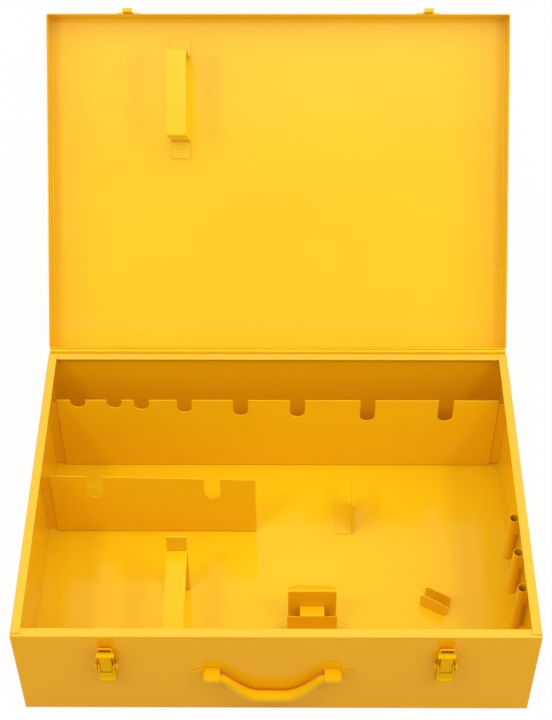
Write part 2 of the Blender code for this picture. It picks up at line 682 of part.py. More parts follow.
def latch_loop(name, loop, finish):
    """The draw loop: rolled round its pin, a stem through the lever's fork and a slotted, set-back head."""
    outside = LOOP_PIN_RADIUS + PIN_PLAY + LATCH_SHEET
    eye = arc((0, 0), outside, pi + LOOP_EYE_SWEEP, -LOOP_EYE_SWEEP)
    slot_end = LOOP_SLOT_START + LOOP_SLOT_HEIGHT
    stem = [(-outside, LOOP_SHOULDER), (-outside, LOOP_JOG_START)]
    head = [LOOP_JOG_START + LOOP_JOG_RISE, LOOP_SLOT_START, slot_end, slot_end + LOOP_BAR]
    rows = eye + stem + [(LOOP_JOG - outside, z) for z in head]
    right = [LOOP_STEM_WIDTH / 2, LOOP_SLOT_WIDTH / 2, LOOP_HEAD_WIDTH / 2, LOOP_SHOULDER_WIDTH / 2]
    columns = [-x for x in reversed(right)] + right
    shoulder_row = len(eye)
    slot_row = rows.index((LOOP_JOG - outside, LOOP_SLOT_START))

    def keep(row, column):
        if row < shoulder_row:
            return column == 3
        if row == slot_row:
            return column in (1, 5)
        return row <= shoulder_row + 1 or column in range(1, 6)

    sheet(name, ribbon(rows, columns, across_x, keep), (0, 0, 1), finish, LATCH_SHEET, 0, loop)


def latch_rivet(name, x, side, finish):
    """A domed rivet that a lever's side turns on, through one ear."""
    inner = LEVER_WIDTH / 2 - LATCH_SHEET
    head = BASE_WIDTH / 2 + SEAT
    dome = [(head + RIVET_HEAD * sin(turn), RIVET_HEAD_RADIUS * cos(turn)) for turn in
            [pi / 2 * step / FOLD_STEPS for step in range(FOLD_STEPS)]]
    profile = [(inner, 0), (inner, RIVET_RADIUS), (head, RIVET_RADIUS), *dome, (head + RIVET_HEAD, 0)]
    rivet = turned(name, [(side * along, radius) for along, radius in profile], PIN_SIDES, finish)
    rivet.location = (x, -HALF_DEPTH - LATCH_PIVOT_OUT, LATCH_PIVOT_Z)


def draw_latches(finish, steel):
    """Two draw latches on the front wall."""
    for side, word in ((-1, "left"), (1, "right")):
        x = side * LATCH_X
        latch_base(f"latch_base_{word}", x, finish)
        latch_rivet(f"latch_rivet_{word}_outer", x, side, finish)
        latch_rivet(f"latch_rivet_{word}_inner", x, -side, finish)
        lever = joint_empty(f"lever pivot {word}", (x, -HALF_DEPTH - LATCH_PIVOT_OUT, LATCH_PIVOT_Z))
        lever_piece = latch_lever(f"latch_lever_{word}", lever, finish)
        loop = joint_empty(f"loop pivot {word}", (0, LOOP_PIN_IN, -LOOP_PIN_BELOW), LOOP_LEAN, lever)
        latch_loop(f"latch_loop_{word}", loop, finish)
        pin = round_bar(f"latch_loop_pin_{word}", LEVER_WIDTH, LOOP_PIN_RADIUS, steel, lever)
        pin.location = (0, LOOP_PIN_IN, -LOOP_PIN_BELOW)
        drill(lever_piece, pin.location, LOOP_PIN_RADIUS + PIN_PLAY, LEVER_WIDTH * 2, lever)


def handle_mounts(finish):
    """A pointed plate and a pressed clip with a closed outer end for each end of the handle."""
    reach = HANDLE_END_RADIUS + LOOSE
    plate_skin = -HALF_DEPTH - SEAT
    clip_seat = plate_skin - SHEET - SEAT
    axis = -HALF_DEPTH - HANDLE_AXIS_OUT
    edge = reach + HANDLE_CLIP_FLANGE
    for side, word in ((-1, "left"), (1, "right")):
        middle = HANDLE_X + side * HANDLE_CLIP_SPACING / 2
        inner = middle - side * HANDLE_CLIP_WIDTH / 2
        outer = middle + side * HANDLE_CLIP_WIDTH / 2
        tip = outer + side * HANDLE_PLATE_TIP
        point = HANDLE_PLATE_POINT
        plate = [(inner, -edge), (outer, -edge), (tip, -point), (tip, point), (outer, edge), (inner, edge)]
        sheet(f"handle_plate_{word}", [[(x, plate_skin, HANDLE_Z + z) for x, z in plate]], (0, 1, 0), finish)
        saddle = arc((axis, HANDLE_Z), reach, pi / 2, pi)
        profile = [(clip_seat, HANDLE_Z + edge), (clip_seat, HANDLE_Z + reach), *saddle,
                   (clip_seat, HANDLE_Z - reach), (clip_seat, HANDLE_Z - edge)]
        stations = [(inner, 1.0)]
        for step in range(FOLD_STEPS + 1):
            turn = pi / 2 * step / FOLD_STEPS
            inset = HANDLE_CLIP_DOME * (1 - cos(turn))
            stations.append((outer - side * HANDLE_CLIP_DOME * (1 - sin(turn)), 1 - inset / reach))

        def pressed(station, pair):
            x, share = station
            out = pair[0] if pair[0] > axis else axis + (pair[0] - axis) * share
            return (x, out, HANDLE_Z + (pair[1] - HANDLE_Z) * share)

        faces = ribbon(profile, stations, pressed)
        faces.append([pressed(stations[-1], pair) for pair in profile[1:-1]])
        sheet(f"handle_clip_{word}", faces, (0, 1, 0), finish, SHEET, 0)


def handle_bar(handle, finish):
    """A round bar that swings in its clips: thin ends, and a thicker straight grip below them."""
    end = HANDLE_CLIP_SPACING / 2 + HANDLE_CLIP_WIDTH / 2 - HANDLE_CLIP_DOME
    start = HANDLE_CLIP_SPACING / 2 - HANDLE_CLIP_WIDTH / 2 - HANDLE_BEND_GAP
    grip = HANDLE_STRAIGHT / 2
    half = [(end, 0.0)]
    for step in range(HANDLE_CURVE_STEPS + 1):
        share = step / HANDLE_CURVE_STEPS
        half.append((start + (grip - start) * share, sin(pi / 2 * share) ** HANDLE_BOW))
    points = [(-x, lowered) for x, lowered in half] + list(reversed(half))
    line = bpy.data.curves.new("handle_bar", "CURVE")
    line.dimensions = "3D"
    line.bevel_depth = 1
    line.bevel_resolution = HANDLE_ROUNDNESS
    line.use_fill_caps = True
    spline = line.splines.new("POLY")
    spline.points.add(len(points) - 1)
    for target, (x, lowered) in zip(spline.points, points):
        target.co = (x, 0, -HANDLE_DROP * lowered, 1)
        target.radius = HANDLE_END_RADIUS + (GRIP_RADIUS - HANDLE_END_RADIUS) * lowered
    add_object("handle_bar", line, finish, handle)


def build():
    """Make the whole case with its lid open."""
    clear_scene()
    coat = paint("yellow powder coat", *COAT)
    fitting = paint("yellow fitting coat", *FITTING_COAT)
    steel = paint("zinc plated steel", *ZINC)
    case_shell(coat)
    side_wall("side_wall_left", -1, coat)
    side_wall("side_wall_right", 1, coat)
    dividers(coat)
    front_rest(coat)
    square_holder(coat)
    floor_bracket(coat)
    floor_clip(coat)
    socket_tubes(coat)
    lid = joint_empty("lid hinge", (0, HINGE_AXIS_Y, HINGE_AXIS_Z), -LID_OPEN)
    lid_tray(lid, coat)
    lid_strap(lid, coat)
    lid_catches(lid, fitting)
    continuous_hinge(lid, fitting, steel)
    draw_latches(fitting, steel)
    handle_mounts(fitting)
    handle = joint_empty("handle pivot", (HANDLE_X, -HALF_DEPTH - HANDLE_AXIS_OUT, HANDLE_Z))
    handle_bar(handle, fitting)


build()
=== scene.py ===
# %% [markdown]
# A yellow steel storage case, standing open.
# The case comes into this file as plain solids that are exact in size and place. Here each solid is
# dressed: its edges are eased, its folds are shaded smooth, its paint is mixed from nodes, and it is
# lit as in a small studio. Each step says what the piece is on the real case and why it is made so.

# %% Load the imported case
import json
from math import cos, pi, radians, sin

import bpy
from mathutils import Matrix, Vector

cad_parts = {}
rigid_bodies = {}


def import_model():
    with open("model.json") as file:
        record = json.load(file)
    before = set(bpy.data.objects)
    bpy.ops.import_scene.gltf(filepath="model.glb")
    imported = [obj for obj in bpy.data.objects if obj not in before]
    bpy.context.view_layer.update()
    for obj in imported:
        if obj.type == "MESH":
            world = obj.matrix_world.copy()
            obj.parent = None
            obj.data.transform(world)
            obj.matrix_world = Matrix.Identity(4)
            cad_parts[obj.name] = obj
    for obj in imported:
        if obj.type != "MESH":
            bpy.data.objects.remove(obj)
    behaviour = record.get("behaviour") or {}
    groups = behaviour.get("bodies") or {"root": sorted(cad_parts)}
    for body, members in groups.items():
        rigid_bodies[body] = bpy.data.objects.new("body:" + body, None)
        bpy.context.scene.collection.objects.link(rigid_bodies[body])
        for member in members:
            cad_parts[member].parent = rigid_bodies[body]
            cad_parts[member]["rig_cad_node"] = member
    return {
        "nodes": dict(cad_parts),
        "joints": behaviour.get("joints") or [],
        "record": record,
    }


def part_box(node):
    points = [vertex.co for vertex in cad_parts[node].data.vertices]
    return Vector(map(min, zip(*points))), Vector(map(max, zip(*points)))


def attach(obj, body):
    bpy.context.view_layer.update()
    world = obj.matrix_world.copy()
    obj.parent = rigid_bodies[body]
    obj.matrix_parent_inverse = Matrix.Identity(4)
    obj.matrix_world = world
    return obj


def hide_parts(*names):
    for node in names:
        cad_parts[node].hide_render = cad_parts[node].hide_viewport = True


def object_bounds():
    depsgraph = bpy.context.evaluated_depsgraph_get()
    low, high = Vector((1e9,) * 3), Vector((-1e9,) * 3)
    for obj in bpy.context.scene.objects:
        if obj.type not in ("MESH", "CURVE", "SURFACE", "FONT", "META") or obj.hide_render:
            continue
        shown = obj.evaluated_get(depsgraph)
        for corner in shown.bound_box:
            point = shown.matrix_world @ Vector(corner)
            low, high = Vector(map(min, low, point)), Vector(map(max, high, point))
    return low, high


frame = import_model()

SOLID_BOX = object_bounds()
MM = 0.001
print("solids:", len(frame["nodes"]), "box:", [tuple(corner) for corner in SOLID_BOX])

# %% [markdown]
# The camera stands in front of the case and looks down at it from about two metres away. Its place was
# found by matching the case's rim, floor and lid to the picture, so the numbers are a measured pose and
# not round ones. The picture is upright, so the sensor's long side is its height.

# %% Camera
CAMERA_PLACE = (0.009471, -1.172913, 1.662311)
CAMERA_TILT = (radians(42.4658), radians(0.1015), radians(0.2382))
CAMERA_LENS = 78.097
CAMERA_SHIFT = -0.0033

bpy.ops.object.camera_add(location=CAMERA_PLACE, rotation=CAMERA_TILT)
camera = bpy.context.active_object
camera.name = "picture_camera"
camera.data.lens = CAMERA_LENS
camera.data.shift_x = CAMERA_SHIFT
bpy.context.scene.camera = camera
print("camera lens in mm:", camera.data.lens)

# %% [markdown]
# Finishes are built from shader nodes. Wiring nodes one by one is slow to read, so a small class holds
# one socket, and the usual signs for sums and products add the Math nodes. A second class holds the
# material, and its one method adds any other kind of node.

# %% Shader maths
NOISE_MIDDLE = 0.5


class Wire:
    """A socket of a finish, which can be added, taken away, multiplied and raised to a power."""

    def __init__(self, finish, socket):
        self.finish = finish
        self.socket = socket

    def maths(self, operation, first, second):
        return self.finish.node("ShaderNodeMath", {"operation": operation}, {0: first, 1: second})

    def __add__(self, other):
        return self.maths("ADD", self, other)

    def __radd__(self, other):
        return self.maths("ADD", other, self)

    def __sub__(self, other):
        return self.maths("SUBTRACT", self, other)

    def __rsub__(self, other):
        return self.maths("SUBTRACT", other, self)

    def __mul__(self, other):
        return self.maths("MULTIPLY", self, other)

    def __rmul__(self, other):
        return self.maths("MULTIPLY", other, self)

    def __pow__(self, other):
        return self.maths("POWER", self, other)

    def __rpow__(self, other):
        return self.maths("POWER", other, self)

    def __abs__(self):
        return self.maths("ABSOLUTE", self, 0)

    def larger(self, other):
        return self.maths("MAXIMUM", self, other)

    def folded(self, length):
        return self.maths("PINGPONG", self, length)


class Finish:
    """The nodes of a material or a world, built one by one."""

    def __init__(self, owner):
        owner.use_nodes = True
        self.owner = owner
        self.tree = owner.node_tree
        self.tree.nodes.clear()

    def node(self, kind, settings=None, values=None, output=0):
        """Add a node: its settings first, then a number, a colour or a wire for each socket."""
        made = self.tree.nodes.new(kind)
        for name, value in (settings or {}).items():
            setattr(made, name, value)
        for name, value in (values or {}).items():
            if isinstance(value, Wire):
                self.tree.links.new(value.socket, made.inputs[name])
            else:
                made.inputs[name].default_value = value
        return Wire(self, made.outputs[output]) if made.outputs else None

    def place(self):
        """The place on the piece, in metres."""
        return self.node("ShaderNodeTexCoord", output="Object")

    def axes(self):
        """The place on the piece as three separate measures."""
        split = self.node("ShaderNodeSeparateXYZ", {}, {0: self.place()})
        return [Wire(self, socket) for socket in split.socket.node.outputs]

    def noise(self, size, detail, place=None):
        """Soft random values from 0 to 1, with patches of about the given size in metres."""
        values = {"Vector": place or self.place(), "Scale": 1 / size, "Detail": detail}
        return self.node("ShaderNodeTexNoise", {}, values)

    def ramp(self, value, low, high):
        """Stretch a value so that low becomes 0 and high becomes 1, and keep it between them."""
        return self.node("ShaderNodeMapRange", {"clamp": True}, {0: value, 1: low, 2: high})

    def blend(self, share, first, second):
        """Mix two colours."""
        return self.node("ShaderNodeMix", {"data_type": "RGBA"}, {0: share, 6: first, 7: second}, 2)

    def close(self, values):
        """Finish with the surface shader."""
        shader = self.node("ShaderNodeBsdfPrincipled", {}, values)
        self.node("ShaderNodeOutputMaterial", {}, {"Surface": shader})
        print("finish:", self.owner.name, len(self.tree.nodes), "nodes")
        return self.owner


print("shader maths ready")

# %% [markdown]
# The case is sprayed with yellow powder that melts into a skin. Such a skin is even in colour, with a
# faint cloudiness where it lies thicker, and it has a very fine dimpled surface that blurs reflections.
# Three noises give that: a broad one for the cloudiness, a middle one for the slow waves of the sheet,
# and a fine one for the dimples. The dimples go into the bump only, because they are too small to tint.
#
# On the outside the colour is a little deeper, as painted shade, and the clear gloss is gone, so that the
# outer faces reflect less of the white floor. How near a point lies to the outer faces tells where. The lid
# stands open, so its outer faces are measured along directions that are turned with it. The case's floor
# has a lighter, more lemon tint by height, as painted light, and the rim a paler, slightly dimmer tint by
# height, as painted sheen and painted shade. The back wall behind the divider has a deeper, more orange
# tint, as painted shade for the light that bounces between the yellow walls.

# %% Powder coat
COAT_YELLOW = (0.885, 0.525, 0.004, 1)
COAT_DEEP = (0.87, 0.505, 0.003, 1)
# Fittings on the front wall get a deeper copy of the coat's yellow, which is painted shade; the lid's
# fittings get the lit copy.
SHADED_FITTING_YELLOW = (0.885, 0.47, 0.002, 1)
SHADED_FITTING_DEEP = (0.865, 0.45, 0.002, 1)
LIT_FITTING_COLOURS = (COAT_YELLOW, COAT_DEEP)
CLOUD_SIZE = 160 * MM
CLOUD_RAMP = (0.35, 0.65)
WAVE_SIZE = 35 * MM
WAVE_HEIGHT = 0.012 * MM
DIMPLE_SIZE = 1.1 * MM
DIMPLE_HEIGHT = 0.0012 * MM
COAT_ROUGHNESS = 0.17
ROUGHNESS_SPREAD = 0.04
COAT_SHINE = 0.07
LATCH_SHINE = 0.005
LID_FITTING_SHINE = 0.12
FITTING_SHINE = 0.04
INNER_GLOSS = 0.4
# Painted shade: the deeper yellow of the outer faces.
OUTER_SHADE_YELLOW = (0.925, 0.445, 0.003, 1)
OUTER_FACE_DEPTH = (-0.2 * MM, -0.8 * MM)
# Painted light: the lighter, more lemon yellow of the case's floor.
FLOOR_LIT_YELLOW = (0.885, 0.555, 0.005, 1)
FLOOR_HEIGHT = (2 * MM, 6 * MM)
# Painted shade: the deeper, more orange yellow of the back wall.
BACK_SHADE_YELLOW = (0.9, 0.475, 0.003, 1)
BACK_START = (205 * MM, 212 * MM)
BACK_END = (217.6 * MM, 217.1 * MM)
# Painted sheen and painted shade: the paler, slightly dimmer yellow of the rim.
RIM_SHEEN_AND_SHADE = (0.865, 0.49, 0.03, 1)
RIM_HEIGHT = (155 * MM, 156 * MM)
RIM_END = (158.4 * MM, 158 * MM)
FRONT_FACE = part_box("case_shell")[0].y
SIDE_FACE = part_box("side_wall_right")[1].x
LID_OPEN = radians(133.44)
CASE_FRONT = Vector((0, -1, 0))
LID_TOP = Vector((0, sin(LID_OPEN), cos(LID_OPEN)))
LID_FRONT = Vector((0, -cos(LID_OPEN), sin(LID_OPEN)))


def coat_surface(finish, bump_height):
    """Shared parts of a powder coat: its cloudiness, its roughness and its dimpled normal."""
    cloud = finish.noise(CLOUD_SIZE, detail=3)
    rough = COAT_ROUGHNESS + ROUGHNESS_SPREAD * (cloud - NOISE_MIDDLE)
    bump = finish.node("ShaderNodeBump", {}, {"Strength": 1.0, "Distance": 1.0, "Height": bump_height})
    return cloud, rough, bump


def dimples(finish):
    """Height of the coat's fine dimples and of the sheet's slow waves, in metres."""
    waves = WAVE_HEIGHT * finish.noise(WAVE_SIZE, detail=0)
    return DIMPLE_HEIGHT * finish.noise(DIMPLE_SIZE, detail=1) + waves


def sheet_coat(name, node, ways_out):
    """Yellow powder on sheets, glossy inside, and on a solid's outer faces without gloss and deeper as
    painted shade.
    """
    finish = Finish(bpy.data.materials.new(name))
    cloud, rough, bump = coat_surface(finish, dimples(finish))
    tint = finish.blend(finish.ramp(cloud, *CLOUD_RAMP), COAT_YELLOW, COAT_DEEP)
    x, y, z = finish.axes()
    past_face = abs(x) - SIDE_FACE
    for way in ways_out:
        end = max(way.dot(corner.co) for corner in frame["nodes"][node].data.vertices)
        past_face = past_face.larger(way.y * y + way.z * z - end)
    # Painted shade: the yellow is deeper on the outer faces, where this share falls to 0.
    away_from_outside = finish.ramp(past_face, *OUTER_FACE_DEPTH)
    # Below, the rim gets painted sheen and shade, the back wall painted shade and the case's floor painted
    # light.
    on_rim = finish.ramp(z, *RIM_HEIGHT) * finish.ramp(z, *RIM_END)
    on_back = finish.ramp(y, *BACK_START) * finish.ramp(y, *BACK_END)
    tint = finish.blend(on_back, tint, BACK_SHADE_YELLOW)
    tint = finish.blend(finish.ramp(z, *FLOOR_HEIGHT), FLOOR_LIT_YELLOW, tint)
    tint = finish.blend(on_rim, finish.blend(away_from_outside, OUTER_SHADE_YELLOW, tint), RIM_SHEEN_AND_SHADE)
    values = {"Base Color": tint, "Roughness": rough, "Normal": bump,
              "Specular IOR Level": COAT_SHINE, "Coat Weight": INNER_GLOSS * away_from_outside,
              "Coat Roughness": COAT_ROUGHNESS}
    return finish.close(values)


def fitting_paint(name, shine, colours=(SHADED_FITTING_YELLOW, SHADED_FITTING_DEEP), extra_height=None):
    """Yellow powder on the small fittings, which are handled most and have the least gloss; by default
    painted shade deepens their yellow.
    """
    finish = Finish(bpy.data.materials.new(name))
    height = dimples(finish)
    if extra_height:
        height = height + extra_height(finish)
    cloud, rough, bump = coat_surface(finish, height)
    tint = finish.blend(finish.ramp(cloud, *CLOUD_RAMP), *colours)
    values = {"Base Color": tint, "Roughness": rough, "Normal": bump, "Specular IOR Level": shine}
    return finish.close(values)


yellow_coat = sheet_coat("yellow_coat_on_case", "case_shell", [CASE_FRONT])
lid_coat = sheet_coat("yellow_coat_on_lid", "lid_tray", [LID_TOP, LID_FRONT])
# The front wall's fittings get the deeper yellow, which is painted shade; the lid's hooks get the lit copy.
fitting_coat = fitting_paint("yellow_coat_on_fittings", FITTING_SHINE)
latch_coat = fitting_paint("yellow_coat_on_latches", LATCH_SHINE)
hook_coat = fitting_paint("yellow_coat_on_hooks", LID_FITTING_SHINE, LIT_FITTING_COLOURS)

# %% [markdown]
# The hinge leaves are held by spot welds, which leave a row of shallow round dents under the paint. Both
# leaves have their row at the same distance from the hinge pin, so one measure from the pin's axis finds
# both rows, and a repeated measure along the pin finds the dents. Dents this shallow show only as a
# change of shading, so they are drawn as bump and need no geometry.

# %% Hinge coat with spot welds
LID_JOINT = next(joint for joint in frame["joints"] if joint["name"] == "lid_hinge")
HINGE_Y, HINGE_Z = LID_JOINT["pos_m"][1:]
WELD_PITCH = 56.2 * MM
WELD_FROM_PIN = 15 * MM
WELD_RADIUS = 3.2 * MM
WELD_DENT = 0.25 * MM


def weld_dents(finish):
    """Depth of a row of spot weld dents, in metres."""
    x, y, z = finish.axes()
    from_pin = ((y - HINGE_Y) ** 2 + (z - HINGE_Z) ** 2) ** 0.5
    along = x.folded(WELD_PITCH / 2)
    from_weld = (along ** 2 + (from_pin - WELD_FROM_PIN) ** 2) ** 0.5
    return -WELD_DENT * finish.ramp(from_weld, WELD_RADIUS, WELD_RADIUS / 2)


# The hinge gets the lit copy of the fittings' yellow, like the lid's hooks.
hinge_finish = fitting_paint("yellow_coat_on_hinge", LID_FITTING_SHINE, LIT_FITTING_COLOURS, weld_dents)

# %% [markdown]
# The pins are bare plated steel. Drawn wire has fine lines along its length and a patchy grey skin, so
# a noise stretched along the pin varies the roughness, and a broader one varies the grey.

# %% Plated steel
STEEL_LIGHT = (0.62, 0.60, 0.56, 1)
STEEL_DARK = (0.42, 0.40, 0.37, 1)
STEEL_ROUGHNESS = 0.3
PATCH_SIZE = 6 * MM
LINE_SIZE = 0.6 * MM
LINE_ROUGHNESS = 0.2
LINE_STRETCH = (0.06, 1, 1)


def plated_steel():
    """Drawn and plated wire, with lines along X."""
    finish = Finish(bpy.data.materials.new("plated_steel_wire"))
    stretched = finish.node("ShaderNodeMapping", {}, {"Vector": finish.place(), "Scale": LINE_STRETCH})
    lines = finish.noise(LINE_SIZE, detail=2, place=stretched)
    patches = finish.noise(PATCH_SIZE, detail=3)
    tint = finish.blend(patches, STEEL_LIGHT, STEEL_DARK)
    rough = STEEL_ROUGHNESS + LINE_ROUGHNESS * (lines - NOISE_MIDDLE)
    return finish.close({"Base Color": tint, "Roughness": rough, "Metallic": 1.0})


steel = plated_steel()

# %% [markdown]
# Every piece goes through the same few steps. Modifiers are added and applied at once, corners are picked
# by their place, and a finished piece is painted and hung on the body that carries it. A function for
# each step keeps the later cells short.

# %% Steps for every piece
EDGE_STEPS = 2
CUT_ANGLE = radians(50)
FLAT_WEIGHT = 80
PART_LISTS = {"VERT": "vertices", "EDGE": "edges", "FACE": "polygons"}


def apply_modifier(piece, kind, **settings):
    """Add a modifier, set it and apply it."""
    bpy.context.view_layer.objects.active = piece
    modifier = piece.modifiers.new(kind.lower(), kind)
    for name, value in settings.items():
        setattr(modifier, name, value)
    bpy.ops.object.modifier_apply(modifier=modifier.name)


def ease_edges(piece, width, angle=CUT_ANGLE):
    """Bevel the edges that are sharper than an angle."""
    apply_modifier(piece, "BEVEL", width=width, segments=EDGE_STEPS,
                   limit_method="ANGLE", angle_limit=angle)


def smooth_folds(piece):
    """Shade a piece smooth and keep its flats flat."""
    bpy.ops.object.shade_smooth()
    apply_modifier(piece, "WEIGHTED_NORMAL", weight=FLAT_WEIGHT, keep_sharp=False)


def fix_piece(name):
    """Name the piece that was just added, and fix its place, turn and size in its mesh."""
    piece = bpy.context.active_object
    piece.name = name
    bpy.ops.object.transform_apply(location=True, rotation=True, scale=True)
    return piece


def select_parts(piece, kind, test):
    """Go into edit mode with only those corners, edges or faces selected that pass a test."""
    bpy.ops.object.mode_set(mode="OBJECT")
    bpy.ops.object.select_all(action="DESELECT")
    piece.select_set(True)
    bpy.context.view_layer.objects.active = piece
    bpy.ops.object.mode_set(mode="EDIT")
    bpy.ops.mesh.select_mode(type=kind)
    bpy.ops.mesh.select_all(action="DESELECT")
    bpy.ops.object.mode_set(mode="OBJECT")
    for part in getattr(piece.data, PART_LISTS[kind]):
        part.select = test(part)
    bpy.ops.object.mode_set(mode="EDIT")


def select_corners(piece, test):
    """Go into edit mode with only those corners selected whose place passes a test."""
    select_parts(piece, "VERT", lambda corner: test(corner.co))


def finish_piece(piece, body, slot, material, *nodes):
    """Paint a piece, hang it on its body and let it stand for its solids."""
    piece.data.materials.clear()
    piece.data.materials.append(material)
    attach(piece, body)
    if nodes:
        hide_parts(*nodes)


print("steps ready")

# %% [markdown]
# The solids arrive as loose triangles with hard facets. A sheet that was cut, folded and painted has
# slightly rounded edges that catch the light, and its folds are smooth. So each solid is copied, its
# triangles are joined and its flat faces made whole, its cut edges get a small bevel, and weighted
# normals keep the flats flat while the folds and bevels turn softly. This could be done by hand for each
# sheet, but the steps are the same every time, so one function does them.

# %% Dress a sheet
CUT_EDGE = 0.35 * MM
FLAT_ANGLE = radians(0.5)
MERGE_DISTANCE = 0.002 * MM


def copy_solid(node):
    """A whole copy of a solid, with its triangles joined into faces."""
    bpy.ops.object.select_all(action="DESELECT")
    solid = frame["nodes"][node]
    solid.select_set(True)
    bpy.context.view_layer.objects.active = solid
    bpy.ops.object.duplicate()
    piece = bpy.context.active_object
    piece.name = f"{node}_dressed"
    piece.data.name = piece.name
    del piece["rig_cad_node"]
    bpy.ops.object.mode_set(mode="EDIT")
    bpy.ops.mesh.select_all(action="SELECT")
    bpy.ops.mesh.customdata_custom_splitnormals_clear()
    bpy.ops.mesh.remove_doubles(threshold=MERGE_DISTANCE)
    bpy.ops.mesh.dissolve_limited(angle_limit=FLAT_ANGLE)
    bpy.ops.object.mode_set(mode="OBJECT")
    return piece


def body_of(node):
    """The body that a solid belongs to."""
    bodies = frame["record"]["behaviour"]["bodies"]
    return next(body for body, members in bodies.items() if node in members)


def dress_sheet(node, slot, material, edge=CUT_EDGE, reshape=None):
    """Copy a solid, reshape it if asked, ease its cut edges and shade its folds smooth."""
    piece = copy_solid(node)
    if reshape:
        reshape(piece, *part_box(node))
    ease_edges(piece, edge)
    smooth_folds(piece)
    finish_piece(piece, body_of(node), slot, material, node)
    return piece


print("cut edge in mm:", CUT_EDGE / MM)

# %% [markdown]
# The case itself is folded sheet: one piece makes the front, floor and back, and two more close the
# sides with their lips on top. The dividers, their angles and the small holders are sheet too. They all
# wear the same coat, so they are dressed in one go. Only the holder's back plate is touched up first: its
# lip stands at a slant and narrows upwards, so its corners are selected, turned about the fold, and those
# of its upper edge are drawn together.

# %% Case, dividers and holders
CASE_SHEETS = [
    "case_shell", "side_wall_left", "side_wall_right", "rear_divider", "rear_divider_angle_left",
    "rear_divider_angle_right", "left_divider", "left_divider_angle", "rest_post", "rest_bar",
    "holder_front_plate", "floor_bracket", "floor_clip",
]
LIP_FOLD = 3.4 * MM
LIP_ZONE = 8 * MM
LIP_SHARE = 0.8
LIP_TURN = radians(-75)
LIP_NARROW = 0.82
LIP_EDGE = 2.5 * MM


def slant_lip(piece, low, high):
    """Shorten the holder's lip and turn it up about its fold."""
    fold = Vector((0, low.y + LIP_FOLD, high.z))
    select_corners(piece, lambda place: place.z > high.z - LIP_ZONE and place.y > fold.y)
    bpy.ops.transform.resize(value=(1, LIP_SHARE, 1), center_override=fold)
    bpy.ops.transform.rotate(value=LIP_TURN, orient_axis="X", center_override=fold)
    bpy.ops.object.mode_set(mode="OBJECT")
    upper = max(corner.co.z for corner in piece.data.vertices) - LIP_EDGE
    select_corners(piece, lambda place: place.z > upper)
    bpy.ops.transform.resize(value=(LIP_NARROW, 1, 1), center_override=(low + high) / 2)
    bpy.ops.object.mode_set(mode="OBJECT")


for node in CASE_SHEETS:
    dress_sheet(node, "yellow_coat", yellow_coat)
holder = dress_sheet("holder_back_plate", "yellow_coat", yellow_coat, reshape=slant_lip)
print("case sheets dressed:", len(CASE_SHEETS) + 1)
print("holder top in mm:", max(corner.co.z for corner in holder.data.vertices) / MM)

# %% [markdown]
# The lid is a shallow tray with a bridge of flat bar inside and a hook for each latch on its front. The
# tray and the bridge are dressed like the case's sheets, but in the lid's own coat, which knows the outer
# faces of an open lid. The hooks are small and lie in full light, so they wear the lit copy of the
# fittings' yellow, while the fittings on the front wall wear a deeper copy, which is painted shade.

# %% Lid
for node in ("lid_tray", "lid_strap"):
    dress_sheet(node, "yellow_coat", lid_coat)
for node in ("lid_catch_left", "lid_catch_right"):
    dress_sheet(node, "fitting_coat", hook_coat)
print("lid dressed")

# %% [markdown]
# One long hinge joins the lid to the back. Its leaves are thin, so their edges get a smaller bevel. Paint
# fills the crack between the case's rim and the lid's knuckles, so the body leaf's edge is drawn up there.

# %% Hinge
LEAF_EDGE = 0.05 * MM
NOTCH_BELOW_PIN = 2.07 * MM
CRACK_FILL = Vector((0, 0, 1.1)) * MM
NEAR = 0.15 * MM


def fill_crack(piece, low, high):
    """Raise the body leaf's notch edges on the side of the wall, so that they follow the lid's knuckles."""
    edge = HINGE_Z - NOTCH_BELOW_PIN
    select_corners(piece, lambda place: abs(place.z - edge) < NEAR and place.y < low.y + NEAR)
    bpy.ops.transform.translate(value=CRACK_FILL)
    bpy.ops.object.mode_set(mode="OBJECT")


dress_sheet("hinge_body_leaf", "fitting_coat", hinge_finish, LEAF_EDGE, fill_crack)
dress_sheet("hinge_lid_leaf", "fitting_coat", hinge_finish, LEAF_EDGE)
dress_sheet("hinge_pin", "zinc_steel", steel, LEAF_EDGE)
print("hinge dressed")

# %% [markdown]
# The latches and the handle's clips are small pressings with softer edges than the cut sheet, because
# the paint pools on them. Two of the latch's pieces are touched up first. The lever's tail gets a cut
# across and is curled out for a finger. The loop's head stands higher and less far back and has round
# corners, so its corners are moved in groups and the top ones are beveled.

# %% Latches and handle clips
PRESSED_EDGE = 0.3 * MM
TAIL_CURL = 2.2 * MM
TAIL_OUT = Vector((0, -1.5, 0)) * MM
LOOP_HEAD_START = 31.4 * MM
LOOP_SHOULDER_START = 27 * MM
HEAD_UP = 2.4 * MM
HEAD_FORWARD = 2 * MM
HEAD_MOVE = Vector((0, -HEAD_FORWARD, HEAD_UP))
SHOULDER_UP = 1.2 * MM
SHOULDER_MOVE = Vector((0, 0, SHOULDER_UP + HEAD_UP))
SLOT_TOP = 42.2 * MM
SLOT_TALLER = Vector((0, 0, 0.8)) * MM
HEAD_EDGE = 1 * MM
HEAD_CORNER = 2.2 * MM
HEAD_STEPS = 4


def curl_tail(piece, low, high):
    """Cut across a lever's tail and curl its end out."""
    select_corners(piece, lambda place: True)
    bpy.ops.mesh.bisect(plane_co=(0, 0, low.z + TAIL_CURL), plane_no=(0, 0, 1))
    select_corners(piece, lambda place: place.z < low.z + TAIL_CURL / 2)
    bpy.ops.transform.translate(value=TAIL_OUT)
    bpy.ops.object.mode_set(mode="OBJECT")


